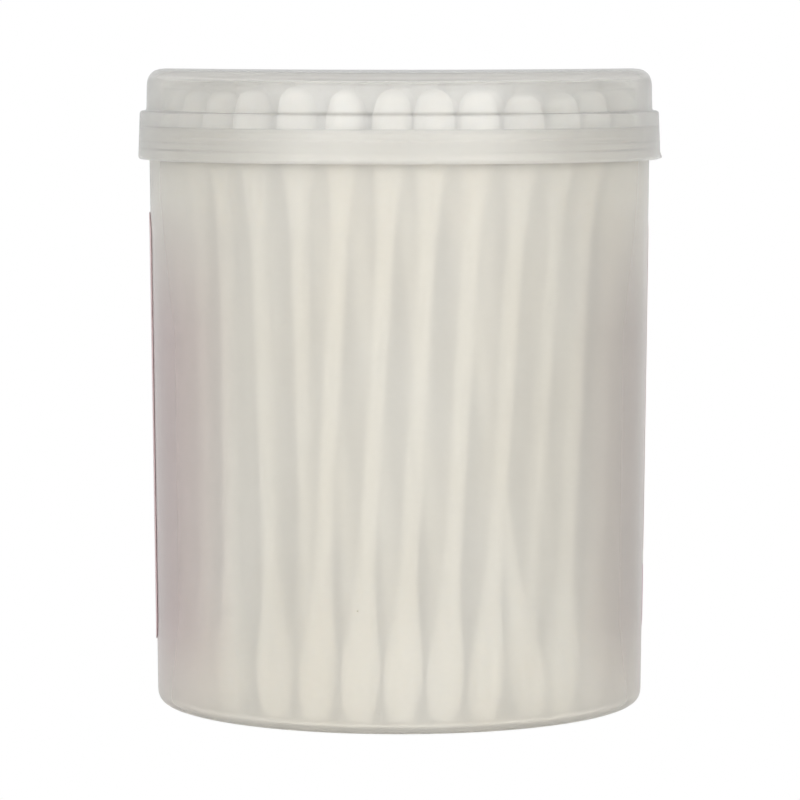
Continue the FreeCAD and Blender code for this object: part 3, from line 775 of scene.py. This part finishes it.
parted = wired(tub_plastic, "SeparateXYZ", {0: place})
across, up = parted.outputs["X"], parted.outputs["Z"]
over_foot = spread_over(tub_plastic, up, -0.002, 0.011)
under_lid = spread_over(tub_plastic, up, 0.062, 0.046)
painted_light_height = sum_of(tub_plastic, "MULTIPLY", over_foot, under_lid)
# painted light: towards each side, the milk is painted with the label's coloured light
for start, side, glow in ((-0.019, -0.0305, PLUM_PAINTED_LIGHT), (0.020, 0.0305, BROWN_PAINTED_LIGHT)):
    painted_light_across = spread_over(tub_plastic, across, start, side)
    milk = between(tub_plastic, sum_of(tub_plastic, "MULTIPLY", painted_light_across, painted_light_height), milk, glow)

cell = wired(tub_plastic, "TexVoronoi", {"Vector": place, "Scale": 190})
cell_number = wired(tub_plastic, "SeparateColor", {0: cell.outputs["Color"]}).outputs[0]
rare = sum_of(tub_plastic, "LESS_THAN", cell_number, 0.10)
tiny = sum_of(tub_plastic, "LESS_THAN", cell.outputs["Distance"], 0.035)
milk = between(tub_plastic, sum_of(tub_plastic, "MULTIPLY", tiny, rare), milk, DUST)
joined_to(tub_plastic, tub_shader, Base_Color=milk, Normal=bumped(tub_plastic, frost, 0.05, 0.00002))

# %% [markdown]
# Where the label is glued on, its glue wets the matt face, so the print's tint shows right through the
# plastic: plum towards the label's left end, a fainter brown at its right end, and deeper low down where
# the print is darker. The film alone would be hidden behind the milk, so the wall's outer face takes the
# tint there.

# %% Plastic behind the label
BROWN_INK, PLUM_INK, PALE_INK = (0.66, 0.56, 0.51), (0.52, 0.36, 0.40), (0.88, 0.84, 0.79)
glued_plastic, glued_shader = finish("glued_tub", Roughness=0.2, IOR=1.49, Transmission_Weight=0.45)
place = wired(glued_plastic, "TexCoord").outputs["Object"]
parted = wired(glued_plastic, "SeparateXYZ", {0: place})
to_left = spread_over(glued_plastic, parted.outputs["X"], 0.012, -0.024)
low_down = spread_over(glued_plastic, parted.outputs["Z"], 0.056, 0.012, 0.35, 1)
tint = between(glued_plastic, to_left, BROWN_INK, PLUM_INK)
tint = between(glued_plastic, low_down, PALE_INK, tint)
joined_to(glued_plastic, glued_shader, Base_Color=tint)

# %% [markdown]
# The lid is the same plastic from a polished mould, so it is clearer and glossier. One even finish would
# miss its zones: the skirt is thick and has been handled, so it is rougher, and the top panel is looked at
# edge-on from the side, through a lot of plastic, so it is milkier. Fine hairline scratches come from the
# edges of a cell pattern, bent by noise, in a few patches only.

# %% Clearer plastic
COOL_CLEAR, WARM_CLEAR = (0.955, 0.94, 0.90), (0.97, 0.96, 0.925)
CLEARNESS = 0.775
PANEL_LOSES = -0.15
SKIRT_ROUGHER = 0.05
SKIRT_BLEND = 1.2
PANEL_BLEND = 0.3
HAIRLINE = 0.006
lid_plastic, lid_shader = finish("clearer_lid", IOR=1.49)
place = wired(lid_plastic, "TexCoord").outputs["Object"]
streaks = grain(lid_plastic, place, 300, (1, 1, 0.3), detail=3)
clear = between(lid_plastic, from_grain(lid_plastic, streaks), COOL_CLEAR, WARM_CLEAR)

wander = wired(lid_plastic, "TexNoise", {"Vector": place, "Scale": 60})
askew = {"Vector": place, "Rotation": (0.5, 0.3, 0.4), "Scale": (1, 0.25, 1)}
spread = wired(lid_plastic, "Mapping", askew).outputs[0]
blend = {0: 0.006, 4: spread, 5: wander.outputs["Color"]}
bent = wired(lid_plastic, "Mix", blend, data_type="VECTOR").outputs[1]
cells = {"Vector": bent, "Scale": 130}
crack = wired(lid_plastic, "TexVoronoi", cells, feature="DISTANCE_TO_EDGE").outputs[0]
in_patches = sum_of(lid_plastic, "GREATER_THAN", grain(lid_plastic, place, 45), 0.56)
scratch = sum_of(lid_plastic, "MULTIPLY", sum_of(lid_plastic, "LESS_THAN", crack, HAIRLINE), in_patches)

high = wired(lid_plastic, "SeparateXYZ", {0: place}).outputs["Z"]
in_skirt = spread_over(lid_plastic, high, SHOULDER * MM, (SHOULDER - SKIRT_BLEND) * MM)
in_panel = spread_over(lid_plastic, high, (PANEL_UNDER - PANEL_BLEND) * MM, (PANEL_UNDER + PANEL_BLEND) * MM)
polish = from_grain(lid_plastic, streaks, 0.11, 0.15)
joined_to(lid_plastic, lid_shader, Base_Color=clear,
          Transmission_Weight=sum_of(lid_plastic, "MULTIPLY_ADD", in_panel, PANEL_LOSES, CLEARNESS),
          Roughness=sum_of(lid_plastic, "MULTIPLY_ADD", in_skirt, SKIRT_ROUGHER, polish),
          Normal=bumped(lid_plastic, scratch, 0.1, -0.00002))

# %% [markdown]
# Cotton is a thicket of fine white fibres. Real hair on two hundred heads would be millions of strands, so
# bumps of three sizes stand in for it. The fibres were wound round the stick, so the middle ones run round
# the head on a slant, with soft clumps under them and fuzz on top, and the outermost fibres catch the light
# as a sheen. A little light passes through the cotton too.

# %% Wound cotton
SHADED_COTTON, BRIGHT_COTTON = (0.86, 0.86, 0.85), (0.93, 0.93, 0.925)
cotton, cotton_shader = finish(
    "wound_cotton", Roughness=0.95, Sheen_Weight=0.35, Sheen_Roughness=0.6, Subsurface_Weight=0.25,
    Subsurface_Radius=(0.0008, 0.0007, 0.0006), Subsurface_Scale=1.0)
place = wired(cotton, "TexCoord").outputs["Object"]
chart = wired(cotton, "TexCoord").outputs["UV"]
clumps = grain(cotton, place, 700, detail=4, rough=0.6)
fibres = grain(cotton, chart, 9, (1.2, 9, 1), detail=5, rough=0.7)
fuzz = grain(cotton, place, 9000, detail=2)
white = between(cotton, from_grain(cotton, clumps), SHADED_COTTON, BRIGHT_COTTON)
surface = bumped(cotton, clumps, 0.3, 0.0002)
surface = bumped(cotton, fibres, 0.35, 0.0001, surface)
surface = bumped(cotton, fuzz, 0.25, 0.00003, surface)
joined_to(cotton, cotton_shader, Base_Color=white, Normal=surface)

# %% [markdown]
# The paper of a stick is wound on a slant and glued, so its edge makes a spiral line, and its fibres show
# as a faint mottling. The line comes from the chart: climb one share round for each turn, and the seam is
# where the count starts anew.

# %% Rolled paper
TURNS = 9
SEAM_WIDTH = 0.035
GREY_PAPER, WHITE_PAPER, GLUE_LINE = (0.84, 0.84, 0.825), (0.91, 0.91, 0.90), (0.70, 0.69, 0.65)
paper, paper_shader = finish("rolled_paper", Roughness=0.65)
place = wired(paper, "TexCoord").outputs["Object"]
chart = wired(paper, "TexCoord").outputs["UV"]
parted = wired(paper, "SeparateXYZ", {0: chart})
climb = sum_of(paper, "MULTIPLY_ADD", parted.outputs[1], TURNS, parted.outputs[0])
seam = sum_of(paper, "LESS_THAN", sum_of(paper, "FRACT", climb), SEAM_WIDTH)
mottle = grain(paper, place, 1600, (1, 1, 0.4), detail=4, rough=0.6)
sheet = between(paper, from_grain(paper, mottle), GREY_PAPER, WHITE_PAPER)
sheet = between(paper, seam, sheet, GLUE_LINE)
surface = bumped(paper, mottle, 0.2, 0.00005)
surface = bumped(paper, seam, 0.5, -0.00006, surface)
joined_to(paper, paper_shader, Base_Color=sheet, Normal=surface)

# %% [markdown]
# The print is a plain pattern: fields of mauve and plum on a pale ground, a wave and rows of dots. A
# picture laid on the film would blur close up, and sums on the chart stay sharp at any distance. Each sum
# says where one ink goes, and the inks are laid one over the other. The last is no ink but painted light: a
# thin strip at the label's left end, lighter than the plum field beside it, where little light reaches.
# The film lets a little light through.

# %% Where each ink goes
WAVE_HEIGHT, WAVE_SWING, WAVE_LENGTH, WAVE_LINE = 0.17, 0.05, 11.0, 0.035
DOT_CELLS = (16.5, 8.5, 1)
DOT_RADIUS = 0.17
film, film_shader = finish(
    "label_print", Roughness=0.5, Transmission_Weight=0.3, IOR=1.45, Coat_Weight=0.6, Coat_Roughness=0.08)
chart = wired(film, "TexCoord").outputs["UV"]
parted = wired(film, "SeparateXYZ", {0: chart})
along, up = parted.outputs[0], parted.outputs[1]
swing = sum_of(film, "SINE", sum_of(film, "MULTIPLY", along, WAVE_LENGTH))
wave = sum_of(film, "MULTIPLY_ADD", swing, WAVE_SWING, WAVE_HEIGHT)
low_field = sum_of(film, "LESS_THAN", up, wave)
wave_line = sum_of(film, "LESS_THAN", sum_of(film, "SUBTRACT", up, WAVE_LINE), wave)
first_field = spread_over(film, along, 0.02, 0.13, 1, 0)
end_field = spread_over(film, along, 0.74, 0.92)
# painted light: a thin strip at the label's left end, painted lighter where little light reaches
painted_light_edge = sum_of(film, "GREATER_THAN", along, 0.9955)
cells = wired(film, "Mapping", {"Vector": chart, "Scale": DOT_CELLS}).outputs[0]
ring = wired(film, "TexVoronoi", {"Vector": cells, "Scale": 1.0, "Randomness": 0.0}).outputs["Distance"]
dots = sum_of(film, "LESS_THAN", ring, DOT_RADIUS)

# %% Lay the inks
PALE_GROUND = (0.88, 0.84, 0.81)
INKS = [
    (dots, (0.72, 0.46, 0.54)),
    (first_field, (0.50, 0.38, 0.36)),
    (wave_line, (0.90, 0.87, 0.84)),
    (low_field, (0.42, 0.17, 0.26)),
    (end_field, (0.46, 0.31, 0.36)),
    # painted light, not ink: the lighter strip at the left end
    (painted_light_edge, (0.75, 0.58, 0.58)),
]
printed = PALE_GROUND
for where, ink in INKS:
    printed = between(film, where, printed, ink)
roller_marks = grain(film, chart, 900, detail=2)
joined_to(film, film_shader, Base_Color=printed, Normal=bumped(film, roller_marks, 0.05, 0.00002))

# %% [markdown]
# A finish shows only once it is on a piece. The tub has two: its own, and the tinted one for the faces that
# have the label behind them. Splitting the tub in two pieces would show a joint in the clear wall, so the
# faces are told apart instead.

# %% Put the finishes on
GLUED = 1


def behind_label(face):
    """Whether a face of the tub is on its outside, where the label is glued on."""
    across, height = math.hypot(face.center.x, face.center.y) / MM, face.center.z / MM
    turn = math.degrees(math.atan2(face.center.y, face.center.x)) % 360
    outside = across > wall_out(height) - WALL / 2
    return outside and LABEL_LOW < height < LABEL_HIGH and turn < LABEL_FROM + LABEL_SWEEP


tub.data.materials.append(tub_plastic)
tub.data.materials.append(glued_plastic)
for face in tub.data.polygons:
    if behind_label(face):
        face.material_index = GLUED
lid.data.materials.append(lid_plastic)
label.data.materials.append(film)
for piece in cotton_pieces.values():
    piece.data.materials.append(cotton)
for piece in stick_pieces.values():
    piece.data.materials.append(paper)
glued = sum(face.material_index == GLUED for face in tub.data.polygons)
print(glued, "faces of the tub are behind the label")

# %% [markdown]
# ## Riding on the frame
# On the real tub the lid comes off and everything else stays. So the lid rides on its own body and all the
# rest on the tub's, and each dressed piece stands in for its solid, which is hidden. Each piece is parented
# to an empty named for its body and keeps its place.

# %% Ride
dressed = [
    (tub, "tub", "tub", "tub_plastic"),
    (lid, "lid", "lid", "lid_plastic"),
    (label, "tub", "label", "label_film"),
]
dressed += [(piece, "tub", node, "cotton") for node, piece in cotton_pieces.items()]
dressed += [(piece, "tub", node, "paper_stick") for node, piece in stick_pieces.items()]
for piece, body, node, slot in dressed:
    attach(piece, body)
    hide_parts(node)
print(len(dressed), "pieces ride on the frame")

# %% [markdown]
# ## Stage, light and camera
# Small things are often photographed on white and then cut out, so that nothing but white is left round
# them. Cutting out would need a second picture. Here a pale table lights the object from below without
# being seen, and a sheet of pure white paper and a white surround, which only the camera sees, stand in for
# the cut-out.

# %% Table and paper
TABLE_SIZE, PAPER_SIZE = 3.0, 40.0
TABLE_DROP, PAPER_DROP = 0.2, 0.1
TABLE_GLOW = 0.18
SURROUND_RADIUS = 18.0


def sheet_of(name, size, up, **numbers):
    """A flat square of the stage, level at a height."""
    bpy.ops.mesh.primitive_plane_add(size=size, location=(0, 0, up))
    piece = bpy.context.object
    piece.name = name
    material, shader = finish(name + "_finish", **numbers)
    piece.data.materials.append(material)
    return piece


table = sheet_of("pale_table", TABLE_SIZE, -TABLE_DROP * MM, Base_Color=(0.85, 0.85, 0.84, 1), Roughness=0.8,
                 Emission_Color=(1, 1, 1, 1), Emission_Strength=TABLE_GLOW)
table.visible_camera = False
paper_sheet = sheet_of("white_paper", PAPER_SIZE, -PAPER_DROP * MM, Base_Color=(0, 0, 0, 1),
                       Emission_Color=(1, 1, 1, 1), Emission_Strength=1.0, Specular_IOR_Level=0.0)
surround_mesh = bpy.data.meshes.new("white_surround")
round_shape = bmesh.new()
bmesh.ops.create_uvsphere(round_shape, u_segments=32, v_segments=16, radius=SURROUND_RADIUS)
round_shape.to_mesh(surround_mesh)
round_shape.free()
surround = bpy.data.objects.new("white_surround", surround_mesh)
bpy.context.scene.collection.objects.link(surround)
surround_mesh.materials.append(paper_sheet.data.materials[0])
for seen in (paper_sheet, surround):
    seen.visible_diffuse = False
    seen.visible_glossy = False
    seen.visible_transmission = False
    seen.visible_shadow = False
print("stage:", ", ".join(piece.name for piece in (table, paper_sheet, surround)))

# %% [markdown]
# Even light from everywhere hides the swabs, because white on white has no shade. Lamps with edges would
# show as bright squares in the gloss. So the room is a sky that is dim all round and swells softly towards
# two big boxes at the front, left and right, and a faint one behind. A power of the angle between the view
# and the box makes the swell: the higher it is, the narrower the box.

# %% Surroundings
ALL_ROUND = 0.52
SOFT_BOXES = [
    ((-0.53, -0.845, 0.08), 6, 3.0),
    ((0.53, -0.845, 0.08), 6, 3.0),
    ((0.0, 1.0, 0.1), 2, 0.15),
]
world = bpy.data.worlds.new("studio")
bpy.context.scene.world = world
world.use_nodes = True
looking = wired(world, "TexCoord").outputs["Generated"]
glow = ALL_ROUND
for toward, tightness, power in SOFT_BOXES:
    facing = wired(world, "VectorMath", {0: looking, 1: Vector(toward).normalized()}, operation="DOT_PRODUCT")
    lobe = sum_of(world, "POWER", sum_of(world, "MAXIMUM", facing.outputs["Value"], 0.0), tightness)
    glow = sum_of(world, "MULTIPLY_ADD", lobe, power, glow)
background = world.node_tree.nodes["Background"]
background.inputs["Color"].default_value = (1, 1, 1, 1)
world.node_tree.links.new(glow, background.inputs["Strength"])
print("room:", len(SOFT_BOXES), "soft boxes over an even", ALL_ROUND)

# %% [markdown]
# A product is photographed from a little above its middle, from some way off with a long lens, so that its
# sides stay nearly upright. How far off shows in how much more the ellipse at the foot opens than the one
# at the lid. The plain view transform keeps white paper white, where a film-like one would grey it.

# %% Camera
LENS = 191.73
SENSOR = 36
CAMERA_AT = (0.08, -520, 78.91)
CAMERA_LOOKS_DOWN = 4.63
camera_data = bpy.data.cameras.new("camera")
camera_data.sensor_width = SENSOR
camera_data.lens = LENS
camera = bpy.data.objects.new("camera", camera_data)
bpy.context.scene.collection.objects.link(camera)
camera.location = [distance * MM for distance in CAMERA_AT]
camera.rotation_euler = (math.radians(90 - CAMERA_LOOKS_DOWN), 0, 0)
bpy.context.scene.camera = camera
bpy.context.scene.view_settings.view_transform = "Standard"
print(f"camera: {LENS} mm lens, {-CAMERA_AT[1]} mm in front of the tub's axis")
